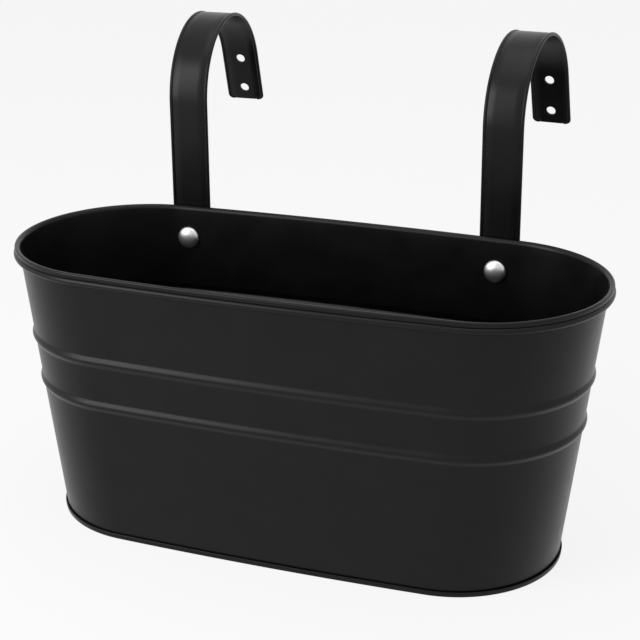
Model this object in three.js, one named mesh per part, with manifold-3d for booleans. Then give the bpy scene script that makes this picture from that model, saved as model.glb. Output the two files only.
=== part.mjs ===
// Window box planter that hangs on a railing: a tapered oval tub of sheet metal
// with a rolled rim and two pressed ribs, a base pan folded round the foot of the
// wall, and two strap hooks, each held to the back wall by one domed bolt.
// Millimetres, +Z up, +Y towards the railing, X along the length of the tub.
import * as THREE from 'three';
import { mergeVertices } from 'three/addons/utils/BufferGeometryUtils.js';
import Module from 'manifold-3d';

const wasm = await Module();
wasm.setup();

// ---- Driving sizes ---------------------------------------------------------

// Tub: outside of the wall at its top and bottom, and the overall height.
const TUB_HEIGHT = 153.8;
const WALL_TOP_LENGTH = 323.6;
const WALL_TOP_DEPTH = 133.7;
const WALL_FOOT_LENGTH = 284.6;
const WALL_FOOT_DEPTH = 118.8;
const WALL_SHEET = 0.8;

// How much the half depth exceeds the end radius: this bows the long sides.
const TOP_SIDE_BOW = 2.8;
const FOOT_SIDE_BOW = 1.8;

// Rolled rim: how far it stands out from the wall, and its height.
const RIM_OVERHANG = 3.2;
const RIM_HEIGHT = 6.4;
const RIM_TUCK_DEG = 70;

// Pressed ribs that run round the wall.
const UPPER_RIB_DROP = 49.5;
const LOWER_RIB_DROP = 75;
const RIB_WIDTH = 7;
const RIB_DEPTH = 1.3;

// Base pan with its fold round the foot of the wall.
const PAN_SHEET = 0.8;
const PAN_FOLD_HEIGHT = 2.9;
const PAN_FLOOR_RISE = 4;
const PAN_EDGE_ROUND = 0.3;

// Strap of the hooks: a thin web with a thicker rounded bead along each edge.
const STRAP_WIDTH = 23;
const STRAP_WEB = 1.3;
const STRAP_BEAD_WIDTH = 2.4;
const STRAP_BEAD_THICKNESS = 2.1;
const STRAP_CORNER_RADIUS = 2.5;

// Shape of a bead, as shares of its width and of its half thickness.
const BEAD_CREST_START = 0.25;
const BEAD_CREST_END = 0.7;
const BEAD_EDGE_HEIGHT = 0.45;

// Path of the hooks, measured from the bolts and from the rim. Each bolt has its
// distance from the end of the wall's top, and the pair is shifted a little along X.
const HOOK_FROM_WALL_END = 69.7;
const HOOK_PAIR_SHIFT = -4.4;
const BOLT_DROP = 18.2;
const STRAP_BELOW_BOLT = 12;
const ARCH_SPRING_ABOVE_RIM = 59.4;
const ARCH_RADIUS = 43.7;
const REAR_LEG_SPLAY_DEG = 17.6;
const REAR_LEG_LENGTH = 31.8;
const STRAP_BEND_RADIUS = 4;

// Screw holes in the rear leg, measured from its tip.
const SCREW_HOLE_DIAMETER = 5.5;
const SCREW_HOLE_FROM_TIP = 7.9;
const SCREW_HOLE_PITCH = 20.2;

// Domed bolt with a square neck, and its washer and nut.
const BOLT_HEAD_DIAMETER = 12.6;
const BOLT_HEAD_HEIGHT = 3.2;
const BOLT_HEAD_EDGE = 0.4;
const BOLT_NECK_WIDTH = 5.4;
const BOLT_SHANK_DIAMETER = 4.9;
const BOLT_TIP_LENGTH = 2;
const BOLT_TIP_CHAMFER = 0.49;
const WASHER_DIAMETER = 10;
const WASHER_THICKNESS = 1;
const NUT_ACROSS_FLATS = 8;
const NUT_HEIGHT = 4;

// Clearances.
const SEAT_GAP = 0.3;
const FOLD_GAP = 0.4;
const NECK_CLEARANCE = 0.3;
const THREAD_CLEARANCE = 0.3;
const CRANK_ABOVE_WASHER = 1;
const CRANK_BELOW_RIM = 1.2;

// ---- Facet counts ----------------------------------------------------------

const SIDE_STEPS = 8;
const END_STEPS = 20;
const RIB_STEPS = 6;
const CURL_STEPS = 6;
const TUCK_STEPS = 3;
const ARCH_STEPS = 22;
const BEND_STEPS = 3;
const CORNER_STEPS = 3;
const ROUND_STEPS = 24;
const DOME_STEPS = 6;

// Length by which every cutter runs past the sheet that it cuts.
const CUTTER_OVERRUN = 4;

// Distance below which two points of a mesh count as one.
const MERGE_TOLERANCE = 1e-5;

// ---- Plan and wall helpers -------------------------------------------------

const lerp = THREE.MathUtils.lerp;
const degrees = THREE.MathUtils.degToRad;

// Half sizes of the wall's outer face at a height, grown outwards by an offset.
function planAt(z, offset) {
  const t = z / TUB_HEIGHT;
  const bow = lerp(FOOT_SIDE_BOW, TOP_SIDE_BOW, t);
  const halfLength = lerp(WALL_FOOT_LENGTH, WALL_TOP_LENGTH, t) / 2 + offset;
  const halfDepth = lerp(WALL_FOOT_DEPTH, WALL_TOP_DEPTH, t) / 2 + offset;
  const endRadius = halfDepth - bow;
  const endCentre = halfLength - endRadius;
  const sideCentre = (endCentre ** 2 - bow ** 2) / (2 * bow);
  return { endRadius, endCentre, sideCentre, sideRadius: halfDepth + sideCentre };
}

// One ring of the four-arc oval, counter-clockwise from the right end's front.
function ovalRing(z, offset) {
  const plan = planAt(z, offset);
  const lean = Math.atan2(plan.endCentre, plan.sideCentre);
  const ring = [];
  const addArc = (cx, cy, radius, from, to, steps) => {
    for (let i = 0; i < steps; i += 1) {
      const angle = lerp(from, to, i / steps);
      ring.push(new THREE.Vector3(cx + radius * Math.cos(angle), cy + radius * Math.sin(angle), z));
    }
  };
  const quarter = Math.PI / 2;
  const { endRadius, endCentre, sideCentre, sideRadius } = plan;
  addArc(endCentre, 0, endRadius, lean - quarter, quarter - lean, END_STEPS);
  addArc(0, -sideCentre, sideRadius, quarter - lean, quarter + lean, SIDE_STEPS);
  addArc(-endCentre, 0, endRadius, quarter + lean, 3 * quarter - lean, END_STEPS);
  addArc(0, sideCentre, sideRadius, 3 * quarter - lean, 3 * quarter + lean, SIDE_STEPS);
  return ring;
}

// Depth of the back wall's outer face at a place along the tub.
function backDepthAt(x, z) {
  const { sideCentre, sideRadius } = planAt(z, 0);
  return Math.sqrt(sideRadius ** 2 - x ** 2) - sideCentre;
}

// ---- Mesh helpers ----------------------------------------------------------

// Geometry from points and triangles, turned so that its faces point outwards.
function solidFrom(points, triangles) {
  let volume = 0;
  for (const [a, b, c] of triangles) {
    volume += points[a].dot(points[b].clone().cross(points[c]));
  }
  const geometry = new THREE.BufferGeometry();
  const positions = points.flatMap((p) => p.toArray());
  geometry.setAttribute('position', new THREE.Float32BufferAttribute(positions, 3));
  geometry.setIndex(triangles.flatMap(([a, b, c]) => (volume > 0 ? [a, b, c] : [a, c, b])));
  return geometry;
}

// Quads between ring number i and ring number j, split in two.
function stripBetween(i, j, count) {
  const triangles = [];
  for (let k = 0; k < count; k += 1) {
    const next = (k + 1) % count;
    triangles.push([i * count + k, j * count + k, j * count + next]);
    triangles.push([i * count + k, j * count + next, i * count + next]);
  }
  return triangles;
}

// A closed ring-shaped solid: the last ring joins the first.
function ringSolid(rings) {
  const count = rings[0].length;
  const triangles = rings.flatMap((ring, i) => stripBetween(i, (i + 1) % rings.length, count));
  return solidFrom(rings.flat(), triangles);
}

// A solid skin that starts and ends on the axis at x = y = 0.
function cappedSolid(rings) {
  const count = rings[0].length;
  const points = rings.flat();
  const triangles = [];
  for (let i = 0; i + 1 < rings.length; i += 1) {
    triangles.push(...stripBetween(i, i + 1, count));
  }
  const first = points.length;
  const last = first + 1;
  points.push(new THREE.Vector3(0, 0, rings[0][0].z));
  points.push(new THREE.Vector3(0, 0, rings[rings.length - 1][0].z));
  const lastStart = (rings.length - 1) * count;
  for (let k = 0; k < count; k += 1) {
    const next = (k + 1) % count;
    triangles.push([first, k, next]);
    triangles.push([last, lastStart + next, lastStart + k]);
  }
  return solidFrom(points, triangles);
}

function toManifold(geometry) {
  const bare = geometry.clone();
  bare.deleteAttribute('normal');
  bare.deleteAttribute('uv');
  const merged = mergeVertices(bare, MERGE_TOLERANCE);
  return new wasm.Manifold(new wasm.Mesh({
    numProp: 3,
    vertProperties: Float32Array.from(merged.attributes.position.array),
    triVerts: Uint32Array.from(merged.index.array),
  }));
}

function fromManifold(manifold) {
  const mesh = manifold.getMesh();
  const geometry = new THREE.BufferGeometry();
  geometry.setAttribute('position', new THREE.BufferAttribute(mesh.vertProperties, 3));
  geometry.setIndex(new THREE.BufferAttribute(mesh.triVerts, 1));
  return geometry;
}

function cut(geometry, cutters) {
  let body = toManifold(geometry);
  for (const cutter of cutters) {
    body = body.subtract(toManifold(cutter));
  }
  return fromManifold(body);
}

// Cylinder along +Y, centred on the origin.
function rodAlongY(diameter, length, steps) {
  return new THREE.CylinderGeometry(diameter / 2, diameter / 2, length, steps);
}

// ---- Tub wall --------------------------------------------------------------

// Points of the wall's middle line as [offset from the outer face, height].
function wallMiddleLine() {
  const middle = -WALL_SHEET / 2;
  const line = [[middle, PAN_SHEET + FOLD_GAP]];
  for (const drop of [LOWER_RIB_DROP, UPPER_RIB_DROP]) {
    for (let i = 0; i <= RIB_STEPS; i += 1) {
      const t = i / RIB_STEPS;
      const rise = (RIB_DEPTH / 2) * (1 - Math.cos(2 * Math.PI * t));
      line.push([middle + rise, TUB_HEIGHT - drop + RIB_WIDTH * (t - 0.5)]);
    }
  }
  const radius = RIM_OVERHANG / 2;
  const centre = middle + radius;
  const upper = TUB_HEIGHT - WALL_SHEET / 2 - radius;
  const lower = TUB_HEIGHT - RIM_HEIGHT + WALL_SHEET / 2 + radius;
  for (let i = 0; i <= CURL_STEPS; i += 1) {
    const angle = Math.PI * (1 - i / CURL_STEPS);
    line.push([centre + radius * Math.cos(angle), upper + radius * Math.sin(angle)]);
  }
  for (let i = 0; i <= TUCK_STEPS; i += 1) {
    const angle = -degrees(RIM_TUCK_DEG) * (i / TUCK_STEPS);
    line.push([centre + radius * Math.cos(angle), lower + radius * Math.sin(angle)]);
  }
  return line;
}

// Closed outline of a sheet of even thickness round its middle line.
function sheetOutline(line, thickness) {
  const near = [];
  const far = [];
  line.forEach(([x, y], i) => {
    const before = line[Math.max(i - 1, 0)];
    const after = line[Math.min(i + 1, line.length - 1)];
    const length = Math.hypot(after[0] - before[0], after[1] - before[1]);
    const nx = ((after[1] - before[1]) / length) * (thickness / 2);
    const ny = (-(after[0] - before[0]) / length) * (thickness / 2);
    near.push([x + nx, y + ny]);
    far.push([x - nx, y - ny]);
  });
  return [...near, ...far.reverse()];
}

function tubWall(seats) {
  const outline = sheetOutline(wallMiddleLine(), WALL_SHEET);
  const shell = ringSolid(outline.map(([offset, z]) => ovalRing(z, offset)));
  const width = BOLT_NECK_WIDTH + 2 * NECK_CLEARANCE;
  const cutters = seats.map((seat) => {
    const cutter = new THREE.BoxGeometry(width, 2 * CUTTER_OVERRUN, width);
    return cutter.applyMatrix4(seat.wallFrame);
  });
  return cut(shell, cutters);
}

// ---- Base pan --------------------------------------------------------------

function tubBase() {
  const bandInner = FOLD_GAP;
  const bandOuter = FOLD_GAP + PAN_SHEET;
  const skirtOuter = -WALL_SHEET - FOLD_GAP;
  const skirtInner = skirtOuter - PAN_SHEET;
  const round = PAN_EDGE_ROUND;
  const outline = [
    [skirtOuter - round, PAN_FLOOR_RISE],
    [skirtOuter, PAN_FLOOR_RISE - round],
    [skirtOuter, PAN_SHEET],
    [bandInner, PAN_SHEET],
    [bandInner, PAN_FOLD_HEIGHT],
    [bandOuter - round, PAN_FOLD_HEIGHT],
    [bandOuter, PAN_FOLD_HEIGHT - round],
    [bandOuter, round],
    [bandOuter - round, 0],
    [skirtInner + round, 0],
    [skirtInner, round],
    [skirtInner, PAN_FLOOR_RISE - PAN_SHEET],
  ];
  return cappedSolid(outline.map(([offset, z]) => ovalRing(z, offset)));
}

// ---- Hooks -----------------------------------------------------------------

// Where one hook is bolted on: side is -1 for the left hook and 1 for the right.
// hookFrame has +Y level and square to the wall, wallFrame also leans with the wall.
function hookSeat(side) {
  const x = HOOK_PAIR_SHIFT + side * (WALL_TOP_LENGTH / 2 - HOOK_FROM_WALL_END);
  const z = TUB_HEIGHT - BOLT_DROP;
  const y = backDepthAt(x, z);
  const { sideCentre } = planAt(z, 0);
  const yaw = -Math.atan2(x, y + sideCentre);
  const lean = Math.atan(((backDepthAt(x, TUB_HEIGHT) - y) / BOLT_DROP) * Math.cos(yaw));
  const hookFrame = new THREE.Matrix4().makeRotationZ(yaw).setPosition(x, y, z);
  const wallFrame = hookFrame.clone().multiply(new THREE.Matrix4().makeRotationX(-lean));
  return { lean, hookFrame, wallFrame };
}

// Polyline corners replaced by arcs, as [y, z] points.
function roundedLine(corners, radius, steps) {
  const line = [corners[0]];
  for (let i = 1; i + 1 < corners.length; i += 1) {
    const here = new THREE.Vector2(...corners[i]);
    const back = new THREE.Vector2(...corners[i - 1]).sub(here).normalize();
    const ahead = new THREE.Vector2(...corners[i + 1]).sub(here).normalize();
    const half = Math.acos(THREE.MathUtils.clamp(back.dot(ahead), -1, 1)) / 2;
    const centre = back.clone().add(ahead).normalize().multiplyScalar(radius / Math.sin(half)).add(here);
    const start = back.clone().multiplyScalar(radius / Math.tan(half)).add(here).sub(centre);
    const end = ahead.clone().multiplyScalar(radius / Math.tan(half)).add(here).sub(centre);
    const turn = (Math.PI - 2 * half) * Math.sign(start.cross(end));
    for (let k = 0; k <= steps; k += 1) {
      const point = start.clone().rotateAround(new THREE.Vector2(), (turn * k) / steps).add(centre);
      line.push(point.toArray());
    }
  }
  line.push(corners[corners.length - 1]);
  return line;
}

// Middle line of the strap in the hook's own frame, as [y, z] from the bolt.
function strapMiddleLine(lean) {
  const offWall = SEAT_GAP + STRAP_BEAD_THICKNESS / 2;
  const alongWall = (distance) => [
    distance * Math.sin(lean) + offWall * Math.cos(lean),
    distance * Math.cos(lean) - offWall * Math.sin(lean),
  ];
  const rimFace = BOLT_DROP * Math.tan(lean) + RIM_OVERHANG;
  const frontLeg = rimFace + offWall;
  const crankStart = alongWall(WASHER_DIAMETER / 2 + CRANK_ABOVE_WASHER);
  const crankEnd = [frontLeg, BOLT_DROP - RIM_HEIGHT - CRANK_BELOW_RIM];
  const spring = BOLT_DROP + ARCH_SPRING_ABOVE_RIM;
  const line = roundedLine(
    [alongWall(-STRAP_BELOW_BOLT), crankStart, crankEnd, [frontLeg, spring]],
    STRAP_BEND_RADIUS,
    BEND_STEPS,
  );
  const splay = degrees(REAR_LEG_SPLAY_DEG);
  const centre = frontLeg + ARCH_RADIUS;
  for (let i = 1; i <= ARCH_STEPS; i += 1) {
    const angle = lerp(Math.PI, splay, i / ARCH_STEPS);
    line.push([centre + ARCH_RADIUS * Math.cos(angle), spring + ARCH_RADIUS * Math.sin(angle)]);
  }
  const [y, z] = line[line.length - 1];
  line.push([y + REAR_LEG_LENGTH * Math.sin(splay), z - REAR_LEG_LENGTH * Math.cos(splay)]);
  return line;
}

// Outline of the strap across its length, as [x, thickness] points.
function strapSection(halfWidth) {
  const web = STRAP_WEB / 2;
  const bead = STRAP_BEAD_THICKNESS / 2;
  const quarter = [
    [halfWidth, bead * BEAD_EDGE_HEIGHT],
    [halfWidth - STRAP_BEAD_WIDTH * BEAD_CREST_START, bead],
    [halfWidth - STRAP_BEAD_WIDTH * BEAD_CREST_END, bead],
    [halfWidth - STRAP_BEAD_WIDTH, web],
  ];
  const mirrored = quarter.map(([x, t]) => [-x, t]).reverse();
  const top = [...quarter, ...mirrored];
  const bottom = top.map(([x, t]) => [x, -t]).reverse();
  return [...top, ...bottom];
}

// Stations close to both ends of a line, where the corners are rounded off.
function withCorners(line) {
  const radius = STRAP_CORNER_RADIUS;
  const narrowed = (distance) => radius - Math.sqrt(radius ** 2 - (radius - distance) ** 2);
  const distances = [];
  for (let i = 0; i < CORNER_STEPS; i += 1) {
    distances.push(radius * (1 - Math.cos((Math.PI / 2) * (i / CORNER_STEPS))));
  }
  distances.push(radius);
  const atEnd = (tip, inner) => {
    const along = new THREE.Vector2(...inner).sub(new THREE.Vector2(...tip)).normalize();
    return distances.map((d) => ({
      point: along.clone().multiplyScalar(d).add(new THREE.Vector2(...tip)),
      inset: narrowed(d),
    }));
  };
  const middle = line.slice(1, -1).map((p) => ({ point: new THREE.Vector2(...p), inset: 0 }));
  const last = line.length - 1;
  return [...atEnd(line[0], line[1]), ...middle, ...atEnd(line[last], line[last - 1]).reverse()];
}

function strapSolid(line) {
  const stations = withCorners(line);
  const points = [];
  stations.forEach(({ point, inset }, i) => {
    const before = stations[Math.max(i - 1, 0)].point;
    const after = stations[Math.min(i + 1, stations.length - 1)].point;
    const normal = after.clone().sub(before).normalize();
    normal.set(normal.y, -normal.x);
    for (const [x, t] of strapSection(STRAP_WIDTH / 2 - inset)) {
      points.push(new THREE.Vector3(x, point.x + normal.x * t, point.y + normal.y * t));
    }
  });
  const outline = strapSection(STRAP_WIDTH / 2 - STRAP_CORNER_RADIUS).map((p) => new THREE.Vector2(...p));
  const count = outline.length;
  const triangles = [];
  for (let i = 0; i + 1 < stations.length; i += 1) {
    triangles.push(...stripBetween(i, i + 1, count));
  }
  const lastStart = (stations.length - 1) * count;
  const around = Math.sign(THREE.ShapeUtils.area(outline));
  for (const face of THREE.ShapeUtils.triangulateShape(outline, [])) {
    const turn = Math.sign(THREE.ShapeUtils.area(face.map((k) => outline[k])));
    const [a, b, c] = turn === around ? face : [...face].reverse();
    triangles.push([a, b, c]);
    triangles.push([lastStart + a, lastStart + c, lastStart + b]);
  }
  return solidFrom(points, triangles);
}

function hook(seat) {
  const line = strapMiddleLine(seat.lean);
  const [tipY, tipZ] = line[line.length - 1];
  const splay = degrees(REAR_LEG_SPLAY_DEG);
  const cutterLength = 2 * CUTTER_OVERRUN;
  const cutters = [0, 1].map((i) => {
    const distance = SCREW_HOLE_FROM_TIP + i * SCREW_HOLE_PITCH;
    const cutter = rodAlongY(SCREW_HOLE_DIAMETER, cutterLength, ROUND_STEPS);
    cutter.rotateX(splay);
    return cutter.translate(0, tipY - distance * Math.sin(splay), tipZ + distance * Math.cos(splay));
  });
  const width = BOLT_NECK_WIDTH + 2 * NECK_CLEARANCE;
  cutters.push(new THREE.BoxGeometry(width, cutterLength, width).rotateX(-seat.lean));
  return cut(strapSolid(line), cutters).applyMatrix4(seat.hookFrame);
}

// ---- Bolts, washers and nuts, along +Y from the outer face of the wall -----

const HEAD_SEAT = -(WALL_SHEET + SEAT_GAP);
const STRAP_BACK = SEAT_GAP + (STRAP_BEAD_THICKNESS + STRAP_WEB) / 2;
const WASHER_SEAT = STRAP_BACK + SEAT_GAP;
const NUT_SEAT = WASHER_SEAT + WASHER_THICKNESS + SEAT_GAP;
const BOLT_TIP = NUT_SEAT + NUT_HEIGHT + BOLT_TIP_LENGTH;
const BORE_DIAMETER = BOLT_SHANK_DIAMETER + 2 * THREAD_CLEARANCE;

function bolt(seat) {
  const rim = HEAD_SEAT - BOLT_HEAD_EDGE;
  const profile = [];
  for (let i = 0; i <= DOME_STEPS; i += 1) {
    const angle = (Math.PI / 2) * (i / DOME_STEPS);
    const dome = (BOLT_HEAD_HEIGHT - BOLT_HEAD_EDGE) * Math.cos(angle);
    profile.push(new THREE.Vector2((BOLT_HEAD_DIAMETER / 2) * Math.sin(angle), rim - dome));
  }
  const shank = BOLT_SHANK_DIAMETER / 2;
  profile.push(new THREE.Vector2(BOLT_HEAD_DIAMETER / 2, HEAD_SEAT));
  profile.push(new THREE.Vector2(shank, HEAD_SEAT));
  profile.push(new THREE.Vector2(shank, BOLT_TIP - BOLT_TIP_CHAMFER));
  profile.push(new THREE.Vector2(shank - BOLT_TIP_CHAMFER, BOLT_TIP));
  profile.push(new THREE.Vector2(0, BOLT_TIP));
  const turned = new THREE.LatheGeometry(profile, ROUND_STEPS);
  const neckFrom = HEAD_SEAT - BOLT_HEAD_EDGE / 2;
  const neckTo = STRAP_BACK - SEAT_GAP;
  const neck = new THREE.BoxGeometry(BOLT_NECK_WIDTH, neckTo - neckFrom, BOLT_NECK_WIDTH);
  neck.translate(0, (neckFrom + neckTo) / 2, 0);
  const body = fromManifold(toManifold(turned).add(toManifold(neck)));
  return body.applyMatrix4(seat.wallFrame);
}

function bored(blank, height, from, seat) {
  const bore = rodAlongY(BORE_DIAMETER, height + 2 * CUTTER_OVERRUN, ROUND_STEPS);
  const body = cut(blank, [bore]).translate(0, from + height / 2, 0);
  return body.applyMatrix4(seat.wallFrame);
}

function washer(seat) {
  const blank = rodAlongY(WASHER_DIAMETER, WASHER_THICKNESS, ROUND_STEPS);
  return bored(blank, WASHER_THICKNESS, WASHER_SEAT, seat);
}

function nut(seat) {
  const blank = rodAlongY((2 * NUT_ACROSS_FLATS) / Math.sqrt(3), NUT_HEIGHT, 6);
  return bored(blank, NUT_HEIGHT, NUT_SEAT, seat);
}

// ---- Assembly --------------------------------------------------------------

const coating = { color: 0x141516, roughness: 0.5, metalness: 0.2 };
const zinc = { color: 0xb9bcc0, roughness: 0.3, metalness: 1 };

const planter = new THREE.Group();
planter.name = 'window_box_planter';

function addPiece(name, geometry, look) {
  const mesh = new THREE.Mesh(geometry, new THREE.MeshStandardMaterial(look));
  mesh.name = name;
  planter.add(mesh);
}

const seats = { left: hookSeat(-1), right: hookSeat(1) };

addPiece('tub_wall', tubWall(Object.values(seats)), coating);
addPiece('tub_base', tubBase(), coating);
for (const [side, seat] of Object.entries(seats)) {
  addPiece(`hook_${side}`, hook(seat), coating);
  addPiece(`bolt_${side}`, bolt(seat), zinc);
  addPiece(`washer_${side}`, washer(seat), zinc);
  addPiece(`nut_${side}`, nut(seat), zinc);
}

// The origin is the bottom centre of the whole planter's box.
const box = new THREE.Box3().setFromObject(planter);
const middle = box.getCenter(new THREE.Vector3());
for (const mesh of planter.children) {
  mesh.geometry.translate(-middle.x, -middle.y, -box.min.z);
  mesh.geometry.computeVertexNormals();
}

export default planter;
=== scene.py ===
# Railing planter: looks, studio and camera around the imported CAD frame.
import bpy
import math
from mathutils import Matrix, Vector


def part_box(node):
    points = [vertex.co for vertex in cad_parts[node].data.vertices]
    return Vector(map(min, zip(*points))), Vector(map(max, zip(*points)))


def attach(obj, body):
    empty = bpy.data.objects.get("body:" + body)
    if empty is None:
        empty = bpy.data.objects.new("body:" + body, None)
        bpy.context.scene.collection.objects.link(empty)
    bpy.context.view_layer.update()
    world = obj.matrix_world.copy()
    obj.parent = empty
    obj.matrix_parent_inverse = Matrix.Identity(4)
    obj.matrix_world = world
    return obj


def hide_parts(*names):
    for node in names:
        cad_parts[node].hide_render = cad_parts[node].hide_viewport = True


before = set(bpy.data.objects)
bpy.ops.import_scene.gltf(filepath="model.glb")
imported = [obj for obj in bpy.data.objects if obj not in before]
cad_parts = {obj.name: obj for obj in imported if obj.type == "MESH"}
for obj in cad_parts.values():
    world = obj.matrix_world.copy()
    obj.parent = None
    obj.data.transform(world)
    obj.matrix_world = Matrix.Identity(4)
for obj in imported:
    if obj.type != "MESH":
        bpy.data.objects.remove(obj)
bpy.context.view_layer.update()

MM = 0.001

# ---- Sizes, in millimetres, as in the solids --------------------------------

HEIGHT = 153.8
TOP_HALF, FOOT_HALF = (161.8, 66.85), (142.3, 59.4)
TOP_BOW, FOOT_BOW = 2.8, 1.8
SHEET = 0.8
RIM_OUT, RIM_TALL = 3.2, 6.4
RIB_DROPS, RIB_WIDE, RIB_DEEP = (75.0, 49.5), 7.0, 1.3
FOLD_GAP, FOLD_TALL, FLOOR_UP = 0.4, 2.9, 4.0
STRAP_HALF, STRAP_WEB, BEAD, GROOVE_DEEP = 11.5, 1.3, 2.1, 0.22
CORNER = 2.5
HOOK_X, HOOK_SHIFT, BOLT_Z = 92.1, -4.4, HEIGHT - 18.2
ARCH_UP, ARCH_R, SPLAY, LEG = 59.4, 43.7, math.radians(17.6), 31.8
HOLE_FROM_TIP, HOLE_PITCH, HOLE_R = 7.9, 20.2, 2.75
FLAT_BELOW_BOLT, FLAT_ABOVE_BOLT, CRANK_BELOW_RIM, CRANK_BEND = 12, 6, 1.2, 4
SEAT = 0.3
TUB_Y = (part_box("tub_wall")[0][1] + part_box("tub_wall")[1][1]) / 2 / MM


def mix(a, b, t):
    return a + (b - a) * t


# ---- Tub plan ---------------------------------------------------------------


def plan(z, out):
    t = z / HEIGHT
    bow = mix(FOOT_BOW, TOP_BOW, t)
    length = mix(FOOT_HALF[0], TOP_HALF[0], t) + out
    depth = mix(FOOT_HALF[1], TOP_HALF[1], t) + out
    end = depth - bow
    centre = length - end
    side = (centre ** 2 - bow ** 2) / (2 * bow)
    return end, centre, side, depth + side


def oval(z, out, end_steps=72, side_steps=36):
    """Ring of a four-arc oval at a height, in millimetres."""
    end, centre, side, wide = plan(z, out)
    lean = math.atan2(centre, side)
    q = math.pi / 2
    ring = []
    for cx, cy, r, a, b, n in (
        (centre, 0, end, lean - q, q - lean, end_steps),
        (0, -side, wide, q - lean, q + lean, side_steps),
        (-centre, 0, end, q + lean, 3 * q - lean, end_steps),
        (0, side, wide, 3 * q - lean, 3 * q + lean, side_steps),
    ):
        for i in range(n):
            t = mix(a, b, i / n)
            ring.append((cx + r * math.cos(t), TUB_Y + cy + r * math.sin(t), z))
    return ring


def back_depth(x, z):
    _, _, side, wide = plan(z, 0)
    return math.sqrt(wide ** 2 - x ** 2) - side


# ---- Mesh making ------------------------------------------------------------


def piece(name, points, faces, material, slot, nodes, sharp=35, matrix=None):
    """A shown piece that stands for CAD nodes; points are in millimetres."""
    mesh = bpy.data.meshes.new(name)
    world = matrix or Matrix()
    mesh.from_pydata([tuple((world @ Vector(p)) * MM) for p in points], [], faces)
    mesh.validate()
    mesh.update()
    mesh.shade_smooth()
    mesh.set_sharp_from_angle(angle=math.radians(sharp))
    obj = bpy.data.objects.new(name, mesh)
    bpy.context.scene.collection.objects.link(obj)
    obj.data.materials.append(material)
    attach(obj, "root")
    if nodes:
        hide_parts(*nodes)
    return obj


def loft(rings, closed=True, caps=False):
    """Points and faces between rings; a closed one joins its last ring to its first."""
    n = len(rings[0])
    points = [p for ring in rings for p in ring]
    faces = []
    last = len(rings) if closed else len(rings) - 1
    for i in range(last):
        a, b = i * n, ((i + 1) % len(rings)) * n
        for k in range(n):
            m = (k + 1) % n
            faces.append((a + k, a + m, b + m, b + k))
    if caps:
        faces.append(tuple(reversed(range(n))))
        faces.append(tuple(range((len(rings) - 1) * n, len(rings) * n)))
    return points, faces


def outward(points, faces):
    """The same faces, turned to point out of the solid."""
    volume = 0.0
    for f in faces:
        a = Vector(points[f[0]])
        for i in range(1, len(f) - 1):
            volume += a.dot(Vector(points[f[i]]).cross(Vector(points[f[i + 1]])))
    return points, faces if volume > 0 else [tuple(reversed(f)) for f in faces]


def sheet_outline(line, thickness):
    near, far = [], []
    for i, (x, y) in enumerate(line):
        x0, y0 = line[max(i - 1, 0)]
        x1, y1 = line[min(i + 1, len(line) - 1)]
        length = math.hypot(x1 - x0, y1 - y0)
        nx = (y1 - y0) / length * thickness / 2
        ny = -(x1 - x0) / length * thickness / 2
        near.append((x + nx, y + ny))
        far.append((x - nx, y - ny))
    return near + far[::-1]


# ---- Materials --------------------------------------------------------------


def new_material(name):
    m = bpy.data.materials.new(name)
    m.use_nodes = True
    nodes, links = m.node_tree.nodes, m.node_tree.links
    nodes.clear()
    out = nodes.new("ShaderNodeOutputMaterial")
    return m, nodes, links, out


def noise(nodes, links, where, scale, detail=2.0, rough=0.5):
    n = nodes.new("ShaderNodeTexNoise")
    n.inputs["Scale"].default_value = scale
    n.inputs["Detail"].default_value = detail
    n.inputs["Roughness"].default_value = rough
    links.new(where, n.inputs["Vector"])
    return n.outputs["Fac"]


def remap(nodes, links, value, low, high, start=0.3, end=0.7):
    r = nodes.new("ShaderNodeMapRange")
    r.inputs["From Min"].default_value = start
    r.inputs["From Max"].default_value = end
    r.inputs["To Min"].default_value = low
    r.inputs["To Max"].default_value = high
    links.new(value, r.inputs["Value"])
    return r.outputs["Result"]


def powder_coat():
    """Black satin powder coat on sheet steel: fine orange peel and a slightly uneven gloss."""
    m, nodes, links, out = new_material("powder_coat_black")
    place = nodes.new("ShaderNodeTexCoord").outputs["Object"]
    shader = nodes.new("ShaderNodeBsdfPrincipled")
    links.new(shader.outputs["BSDF"], out.inputs["Surface"])
    shader.inputs["Specular IOR Level"].default_value = 0.2
    peel = noise(nodes, links, place, 1500, 3.0, 0.6)
    wave = noise(nodes, links, place, 22, 1.0)
    patch = noise(nodes, links, place, 55, 4.0, 0.6)
    speck = noise(nodes, links, place, 900, 1.0)
    ramp = nodes.new("ShaderNodeMix")
    ramp.data_type = "RGBA"
    ramp.inputs[6].default_value = (0.0026, 0.0026, 0.0027, 1)
    ramp.inputs[7].default_value = (0.0042, 0.0042, 0.0044, 1)
    links.new(remap(nodes, links, patch, 0, 1), ramp.inputs[0])
    links.new(ramp.outputs[2], shader.inputs["Base Color"])
    gloss = remap(nodes, links, patch, 0.30, 0.35)
    grain = remap(nodes, links, speck, -0.02, 0.03)
    total = nodes.new("ShaderNodeMath")
    total.operation = "ADD"
    links.new(gloss, total.inputs[0])
    links.new(grain, total.inputs[1])
    links.new(total.outputs[0], shader.inputs["Roughness"])
    fine = nodes.new("ShaderNodeBump")
    fine.inputs["Strength"].default_value = 0.25
    fine.inputs["Distance"].default_value = 0.00004
    links.new(peel, fine.inputs["Height"])
    broad = nodes.new("ShaderNodeBump")
    broad.inputs["Strength"].default_value = 0.25
    broad.inputs["Distance"].default_value = 0.0006
    links.new(wave, broad.inputs["Height"])
    links.new(fine.outputs["Normal"], broad.inputs["Normal"])
    links.new(broad.outputs["Normal"], shader.inputs["Normal"])
    return m


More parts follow.
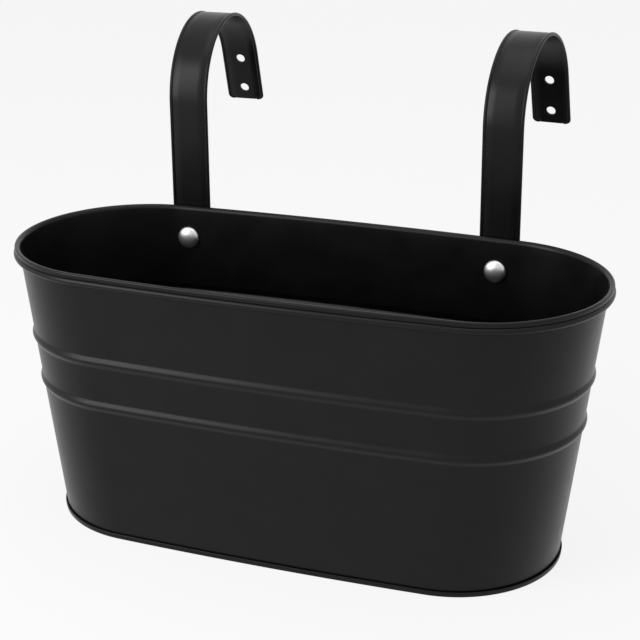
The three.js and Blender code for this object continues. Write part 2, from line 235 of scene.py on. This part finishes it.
def zinc():
    """Bright zinc plate with faint turning marks and specks."""
    m, nodes, links, out = new_material("zinc_plate")
    place = nodes.new("ShaderNodeTexCoord").outputs["Object"]
    shader = nodes.new("ShaderNodeBsdfPrincipled")
    links.new(shader.outputs["BSDF"], out.inputs["Surface"])
    shader.inputs["Metallic"].default_value = 1.0
    cloud = noise(nodes, links, place, 350, 4.0, 0.65)
    ramp = nodes.new("ShaderNodeMix")
    ramp.data_type = "RGBA"
    ramp.inputs[6].default_value = (0.56, 0.565, 0.57, 1)
    ramp.inputs[7].default_value = (0.78, 0.78, 0.77, 1)
    links.new(remap(nodes, links, cloud, 0, 1), ramp.inputs[0])
    links.new(ramp.outputs[2], shader.inputs["Base Color"])
    links.new(remap(nodes, links, cloud, 0.42, 0.32), shader.inputs["Roughness"])
    fine = nodes.new("ShaderNodeBump")
    fine.inputs["Strength"].default_value = 0.2
    fine.inputs["Distance"].default_value = 0.00004
    links.new(noise(nodes, links, place, 2500, 3.0), fine.inputs["Height"])
    links.new(fine.outputs["Normal"], shader.inputs["Normal"])
    return m


coat = powder_coat()
metal = zinc()

# ---- Tub wall with its ribs and rolled rim ------------------------------------


def wall_line():
    mid = -SHEET / 2
    line = [(mid, SHEET + FOLD_GAP), (mid, 6.0), (mid, 30.0), (mid, 55.0)]
    for drop in RIB_DROPS:
        for i in range(25):
            t = i / 24
            rise = RIB_DEEP / 2 * (1 - math.cos(2 * math.pi * t))
            line.append((mid + rise, HEIGHT - drop + RIB_WIDE * (t - 0.5)))
    return line + [(mid, 118.0), (mid, 130.0), (mid, 142.0), (mid, HEIGHT - RIM_TALL)]


def arc(cx, cy, r, a, b, n):
    """Points of an arc from angle a to angle b, in degrees."""
    turns = [math.radians(mix(a, b, i / n)) for i in range(n + 1)]
    return [(cx + r * math.cos(t), cy + r * math.sin(t)) for t in turns]


BEAD_R, LIP_R, LIP_OUT, LIP_TALL, LIP_INNER_TALL = 1.8, 1.1, 2.3, 2.2, 2.2
BEAD_PROUD = 0.12  # the wall is narrower at the bead than at the top


def rim_outline():
    """Rolled bead below a narrower lip; the two meet in a fine crease."""
    bead = Vector((RIM_OUT + BEAD_PROUD - BEAD_R, HEIGHT - RIM_TALL + BEAD_R))
    lip = Vector((LIP_OUT - LIP_R, HEIGHT - LIP_TALL))
    apart = lip - bead
    reach = (BEAD_R ** 2 - LIP_R ** 2 + apart.length_squared) / (2 * apart.length)
    way = apart.normalized()
    crease = bead + way * reach + Vector((way.y, -way.x)) * math.sqrt(BEAD_R ** 2 - reach ** 2)
    bead_end = math.degrees(math.atan2(crease.y - bead.y, crease.x - bead.x))
    lip_start = math.degrees(math.atan2(crease.y - lip.y, crease.x - lip.x))
    line = [(0, bead.y - 0.8 * BEAD_R)] + arc(bead.x, bead.y, BEAD_R, -140, bead_end, 32)
    line += arc(lip.x, lip.y, LIP_R, lip_start, 0, 6)[1:]
    line += arc(lip.x, HEIGHT - LIP_R, LIP_R, 0, 90, 12)
    for i in range(1, 15):
        a = math.pi / 2 * i / 14
        wide = lip.x + SHEET
        line.append((lip.x - wide * math.sin(a), HEIGHT - LIP_INNER_TALL * (1 - math.cos(a))))
    return line


sheet = sheet_outline(wall_line(), SHEET)
profile = sheet[:len(sheet) // 2] + rim_outline() + sheet[len(sheet) // 2:]
wall = piece(
    "wall_skin",
    *outward(*loft([oval(z, out) for out, z in profile])),
    coat, "coated_steel", ["tub_wall"], sharp=50,
)

# ---- Base pan with its fold ---------------------------------------------------


def pan_outline():
    outer = FOLD_GAP + SHEET
    skirt = -SHEET - FOLD_GAP
    crown = SHEET / 2
    line = arc(skirt - 0.5, FLOOR_UP - 0.5, 0.5, 90, 0, 5)
    line += [(skirt, SHEET), (FOLD_GAP, SHEET), (FOLD_GAP, FOLD_TALL - crown)]
    line += arc(outer - crown, FOLD_TALL - crown, crown, 180, 0, 8)[1:]
    line += arc(outer - 0.6, 0.6, 0.6, 0, -90, 6)
    line += arc(skirt - SHEET + 0.5, 0.5, 0.5, -90, -180, 5)
    line += [(skirt - SHEET, FLOOR_UP - SHEET)]
    return line


pan_rings = [oval(z, out) for out, z in pan_outline()]
points, faces = outward(*loft(pan_rings, closed=False, caps=True))
pan = piece("pan_skin", points, faces, coat, "coated_steel", ["tub_base"], sharp=50)

# ---- Hooks --------------------------------------------------------------------


def seat_of(side):
    x = HOOK_SHIFT + side * HOOK_X
    y = back_depth(x, BOLT_Z)
    yaw = -math.atan2(x, y + plan(BOLT_Z, 0)[2])
    lean = math.atan((back_depth(x, HEIGHT) - y) / (HEIGHT - BOLT_Z) * math.cos(yaw))
    level = Matrix.Translation((x, y + TUB_Y, BOLT_Z)) @ Matrix.Rotation(yaw, 4, "Z")
    return lean, level, level @ Matrix.Rotation(-lean, 4, "X")


def rounded(corners, radius, steps):
    line = [Vector(corners[0])]
    for before, here, after in zip(corners, corners[1:], corners[2:]):
        before, here, after = Vector(before), Vector(here), Vector(after)
        back, ahead = (before - here).normalized(), (after - here).normalized()
        half = back.angle(ahead) / 2
        centre = here + (back + ahead).normalized() * radius / math.sin(half)
        start = here + back * radius / math.tan(half) - centre
        end = here + ahead * radius / math.tan(half) - centre
        turn = math.pi - 2 * half
        if start.x * end.y - start.y * end.x < 0:
            turn = -turn
        for k in range(steps + 1):
            a = turn * k / steps
            line.append(centre + Vector((
                start.x * math.cos(a) - start.y * math.sin(a),
                start.x * math.sin(a) + start.y * math.cos(a),
            )))
    line.append(Vector(corners[-1]))
    return line


def strap_line(lean):
    off = SEAT + BEAD / 2
    drop = HEIGHT - BOLT_Z

    def along(d):
        across = d * math.sin(lean) + off * math.cos(lean)
        upward = d * math.cos(lean) - off * math.sin(lean)
        return across, upward

    front = drop * math.tan(lean) + RIM_OUT + off
    spring = drop + ARCH_UP
    crank_end = (front, drop - RIM_TALL - CRANK_BELOW_RIM)
    corners = [along(-FLAT_BELOW_BOLT), along(FLAT_ABOVE_BOLT), crank_end, (front, spring)]
    line = rounded(corners, CRANK_BEND, 10)
    centre = front + ARCH_R
    for i in range(1, 97):
        a = mix(math.pi, SPLAY, i / 96)
        line.append(Vector((centre + ARCH_R * math.cos(a), spring + ARCH_R * math.sin(a))))
    end = line[-1]
    line.append(end + LEG * Vector((math.sin(SPLAY), -math.cos(SPLAY))))
    return line


def strap_section(half):
    """Web with a shallow groove and a round bead at each edge, as (across, thickness) points."""
    web, bead = STRAP_WEB / 2, BEAD / 2
    quarter = arc(half - bead, 0, bead, 8, 128, 10)
    foot = quarter[-1][0] - 0.25
    groove = web - GROOVE_DEEP
    quarter += [(foot, groove), (foot - 0.4, groove), (foot - 0.9, web), (half * 0.45, web)]
    mirrored = [(-x, t) for x, t in reversed(quarter)]
    top = quarter + mirrored
    return top + [(x, -t) for x, t in reversed(top)]


def strap_mesh(line):
    steps = 10
    distances = [CORNER * (1 - math.cos(math.pi / 2 * i / steps)) for i in range(steps + 1)]
    inset = [CORNER - math.sqrt(max(CORNER ** 2 - (CORNER - d) ** 2, 0)) for d in distances]

    def tip(end, inner):
        way = (inner - end).normalized()
        return [(end + way * d, s) for d, s in zip(distances, inset)]

    stations = tip(line[0], line[1]) + [(p, 0) for p in line[1:-1]] + tip(line[-1], line[-2])[::-1]
    rings = []
    for i, (p, s) in enumerate(stations):
        way = (stations[min(i + 1, len(stations) - 1)][0] - stations[max(i - 1, 0)][0]).normalized()
        rings.append([
            (x, p.x + way.y * t, p.y - way.x * t) for x, t in strap_section(STRAP_HALF - s)
        ])
    return outward(*loft(rings, closed=False, caps=True))


def rod(name, radius, length, matrix, sides=64, square=0.0):
    """A cutter along the local Y axis; square gives a square one's half width."""
    ring = []
    for k in range(4 if square else sides):
        a = 2 * math.pi * k / (4 if square else sides) + (math.pi / 4 if square else 0)
        r = square * math.sqrt(2) if square else radius
        ring.append((r * math.cos(a), r * math.sin(a)))
    rings = [[(x, y, z) for x, z in ring] for y in (-length / 2, length / 2)]
    points, faces = outward(*loft(rings, closed=False, caps=True))
    mesh = bpy.data.meshes.new(name)
    mesh.from_pydata([tuple((matrix @ Vector(p)) * MM) for p in points], [], faces)
    obj = bpy.data.objects.new(name, mesh)
    bpy.context.scene.collection.objects.link(obj)
    return obj


def cut(obj, cutters, sharp):
    for c in cutters:
        mod = obj.modifiers.new("cut", "BOOLEAN")
        mod.operation = "DIFFERENCE"
        mod.solver = "EXACT"
        mod.object = c
    graph = bpy.context.evaluated_depsgraph_get()
    made = bpy.data.meshes.new_from_object(obj.evaluated_get(graph))
    obj.modifiers.clear()
    obj.data = made
    made.shade_smooth()
    made.set_sharp_from_angle(angle=math.radians(sharp))
    for c in cutters:
        bpy.data.objects.remove(c, do_unlink=True)


NECK, CUTTER_LONG = 5.4, 8
wall_cutters = []
for side, word in ((-1, "left"), (1, "right")):
    lean, level, flush = seat_of(side)
    line = strap_line(lean)
    strap = piece(
        f"strap_{word}", *strap_mesh(line), coat, "coated_steel", [f"hook_{word}"], 50, level
    )
    way = Vector((math.sin(SPLAY), -math.cos(SPLAY)))
    cutters = []
    for i in range(2):
        p = line[-1] - way * (HOLE_FROM_TIP + HOLE_PITCH * i)
        place = level @ Matrix.Translation((0, p.x, p.y)) @ Matrix.Rotation(SPLAY, 4, "X")
        cutters.append(rod("hole", HOLE_R, CUTTER_LONG, place))
    cutters.append(rod("neck_hole", 0, CUTTER_LONG, flush, square=NECK / 2 + SEAT))
    cut(strap, cutters, 50)
    wall_cutters.append(rod("wall_hole", 0, CUTTER_LONG, flush, square=NECK / 2 + SEAT))
cut(wall, wall_cutters, 50)

# ---- Bolts, washers and nuts ----------------------------------------------------


def circle(radius, y, sides=96, shape=None):
    ring = []
    for k in range(sides):
        a = 2 * math.pi * k / sides
        r = min(radius, shape(a)) if shape else radius
        ring.append((r * math.cos(a), y, r * math.sin(a)))
    return ring


def hexagon(a):
    step = math.pi / 3
    return NUT_HALF / math.cos((a + step / 2) % step - step / 2)


HEAD_R, HEAD_DOME, HEAD_EDGE, EDGE_ROUND = 6.3, 2.8, 0.4, 0.12
SHANK_R, THREAD_DEEP, THREAD_PITCH, THREAD_STEP, TIP_BEVEL = 2.45, 0.36, 0.8, 0.08, 0.5
WASHER_R, WASHER_THICK, BORE_R = 5, 1, 2.75
NUT_HALF, NUT_CORNER, NUT_FACE, NUT_BEVEL, NUT_TALL = 4.0, 4.7, 3.95, 0.42, 4
BOLT_REACH = 6
HEAD_SEAT = -(SHEET + SEAT)
STRAP_BACK = SEAT + (BEAD + STRAP_WEB) / 2
WASHER_SEAT = STRAP_BACK + SEAT
NUT_SEAT = WASHER_SEAT + WASHER_THICK + SEAT
TIP = NUT_SEAT + BOLT_REACH


def bolt_rings():
    rings = []
    for i in range(1, 25):
        a = math.pi / 2 * i / 24
        rings.append(circle(HEAD_R * math.sin(a), HEAD_SEAT - HEAD_EDGE - HEAD_DOME * math.cos(a)))
    rings += [circle(HEAD_R, HEAD_SEAT - EDGE_ROUND), circle(HEAD_R - EDGE_ROUND, HEAD_SEAT)]
    rings += [circle(NECK / 2, HEAD_SEAT), circle(SHANK_R, HEAD_SEAT + SEAT)]
    rings += [circle(SHANK_R, WASHER_SEAT)]
    steps = int((TIP - TIP_BEVEL - WASHER_SEAT) / THREAD_STEP)
    for i in range(1, steps):
        y = WASHER_SEAT + (TIP - TIP_BEVEL - WASHER_SEAT) * i / steps
        ring = []
        for k in range(96):
            a = 2 * math.pi * k / 96
            groove = 0.5 - 0.5 * math.cos(2 * math.pi * (y / THREAD_PITCH) - a)
            r = SHANK_R - THREAD_DEEP * groove * min(1, i / 6)
            ring.append((r * math.cos(a), y, r * math.sin(a)))
        rings.append(ring)
    rings += [circle(1.96, TIP - 0.05), circle(1.85, TIP)]
    return rings


def washer_rings():
    low, high = WASHER_SEAT, WASHER_SEAT + WASHER_THICK
    outer, inner = 0.25, 0.15
    outline = arc(WASHER_R - outer, low + outer, outer, -90, 0, 4)
    outline += arc(WASHER_R - outer, high - outer, outer, 0, 90, 4)
    outline += arc(BORE_R + inner, high - inner, inner, 90, 180, 3)
    outline += arc(BORE_R + inner, low + inner, inner, 180, 270, 3)
    return [circle(r, y) for r, y in outline]


def nut_rings():
    low, high = NUT_SEAT, NUT_SEAT + NUT_TALL
    mouth, bevel = 3.0, 0.3
    rings = [circle(NUT_FACE, low), circle(NUT_CORNER, low + NUT_BEVEL, shape=hexagon)]
    rings += [circle(NUT_CORNER, high - NUT_BEVEL, shape=hexagon), circle(NUT_FACE, high)]
    rings += [circle(mouth, high), circle(BORE_R, high - bevel)]
    rings += [circle(BORE_R, low + bevel), circle(mouth, low)]
    return rings


for side, word in ((-1, "left"), (1, "right")):
    flush = seat_of(side)[2]
    points, faces = outward(*loft(bolt_rings(), closed=False, caps=True))
    square = [[(x * NECK / 2, y, z * NECK / 2) for x, z in ((1, 1), (-1, 1), (-1, -1), (1, -1))]
              for y in (HEAD_SEAT - 0.1, STRAP_BACK - SEAT)]
    more, extra = outward(*loft(square, closed=False, caps=True))
    faces = faces + [tuple(i + len(points) for i in f) for f in extra]
    points = points + more
    piece(f"dome_bolt_{word}", points, faces, metal, "zinc_steel", [f"bolt_{word}"], 30, flush)
    piece(f"flat_washer_{word}", *outward(*loft(washer_rings())), metal, "zinc_steel",
          [f"washer_{word}"], 40, flush)
    piece(f"hex_nut_{word}", *outward(*loft(nut_rings())), metal, "zinc_steel",
          [f"nut_{word}"], 20, flush)

# ---- Studio -------------------------------------------------------------------

scene = bpy.context.scene
scene.view_settings.view_transform = "Standard"


def emission(nodes, colour, strength):
    e = nodes.new("ShaderNodeEmission")
    e.inputs["Color"].default_value = (*colour, 1)
    e.inputs["Strength"].default_value = strength
    return e


def seen_directly(nodes, links):
    """1 for camera, mirror and glass rays, 0 for the rays that light the object."""
    path = nodes.new("ShaderNodeLightPath")
    first = nodes.new("ShaderNodeMath")
    first.operation = "MAXIMUM"
    second = nodes.new("ShaderNodeMath")
    second.operation = "MAXIMUM"
    links.new(path.outputs["Is Camera Ray"], first.inputs[0])
    links.new(path.outputs["Is Glossy Ray"], first.inputs[1])
    links.new(first.outputs[0], second.inputs[0])
    links.new(path.outputs["Is Transmission Ray"], second.inputs[1])
    return second.outputs[0]


def studio_world():
    world = bpy.data.worlds.new("studio")
    scene.world = world
    world.use_nodes = True
    nodes, links = world.node_tree.nodes, world.node_tree.links
    nodes.clear()
    out = nodes.new("ShaderNodeOutputWorld")
    light = nodes.new("ShaderNodeBackground")
    light.inputs["Color"].default_value = (1, 1, 1, 1)
    light.inputs["Strength"].default_value = 0.4
    white = nodes.new("ShaderNodeBackground")
    white.inputs["Color"].default_value = (1, 1, 1, 1)
    white.inputs["Strength"].default_value = 1.0
    both = nodes.new("ShaderNodeMixShader")
    links.new(seen_directly(nodes, links), both.inputs[0])
    links.new(light.outputs[0], both.inputs[1])
    links.new(white.outputs[0], both.inputs[2])
    links.new(both.outputs[0], out.inputs["Surface"])


def heading(azimuth, elevation):
    """Unit vector from the object; azimuth 0 is the front and grows to the right."""
    a, e = math.radians(azimuth), math.radians(elevation)
    return Vector((math.sin(a) * math.cos(e), -math.cos(a) * math.cos(e), math.sin(e)))


def studio_floor():
    m, nodes, links, out = new_material("floor_white")
    diffuse = nodes.new("ShaderNodeBsdfDiffuse")
    diffuse.inputs["Color"].default_value = (0.85, 0.85, 0.85, 1)
    white = emission(nodes, (1, 1, 1), 1.0)
    seen = nodes.new("ShaderNodeMath")
    seen.operation = "MULTIPLY"
    seen.inputs[1].default_value = 0.86
    links.new(seen_directly(nodes, links), seen.inputs[0])
    both = nodes.new("ShaderNodeMixShader")
    links.new(seen.outputs[0], both.inputs[0])
    links.new(diffuse.outputs[0], both.inputs[1])
    links.new(white.outputs[0], both.inputs[2])
    links.new(both.outputs[0], out.inputs["Surface"])
    mesh = bpy.data.meshes.new("floor")
    s = 6.0
    mesh.from_pydata([(-s, -s, 0), (s, -s, 0), (s, s, 0), (-s, s, 0)], [], [(0, 1, 2, 3)])
    floor = bpy.data.objects.new("floor", mesh)
    floor.data.materials.append(m)
    scene.collection.objects.link(floor)


def softbox(name, place, aim, size, power):
    data = bpy.data.lights.new(name, "AREA")
    data.shape = "RECTANGLE"
    data.size, data.size_y = size
    data.energy = power
    obj = bpy.data.objects.new(name, data)
    obj.location = place
    obj.rotation_mode = "QUATERNION"
    obj.rotation_quaternion = (Vector(place) - Vector(aim)).to_track_quat("Z", "Y")
    scene.collection.objects.link(obj)
    return obj


studio_world()
studio_floor()
middle = Vector((0, TUB_Y * MM, 0.12))
softbox("key_left", middle + heading(-41, 24) * 1.1, middle, (0.55, 0.9), 7.5)
softbox("top", middle + Vector((0.1, 0, 1.2)), middle, (1.0, 1.0), 4)

# ---- Camera -------------------------------------------------------------------

AZ, EL, ROLL = math.radians(20.99), math.radians(20.58), math.radians(-0.42)
DISTANCE, AIM = 0.8724, Vector((0.00905, TUB_Y * MM, 0.1194))
back = Vector((math.sin(AZ) * math.cos(EL), -math.cos(AZ) * math.cos(EL), math.sin(EL)))
right = Vector((math.cos(AZ), math.sin(AZ), 0))
up = back.cross(right)
right, up = (
    right * math.cos(ROLL) + up * math.sin(ROLL),
    up * math.cos(ROLL) - right * math.sin(ROLL),
)
camera = bpy.data.objects.new("camera", bpy.data.cameras.new("camera"))
camera.data.lens = 92.15
camera.data.sensor_width = 36
camera.data.clip_start = 0.01
turn = Matrix((right, up, back)).transposed().to_4x4()
camera.matrix_world = Matrix.Translation(AIM + back * DISTANCE) @ turn
scene.collection.objects.link(camera)
scene.camera = camera
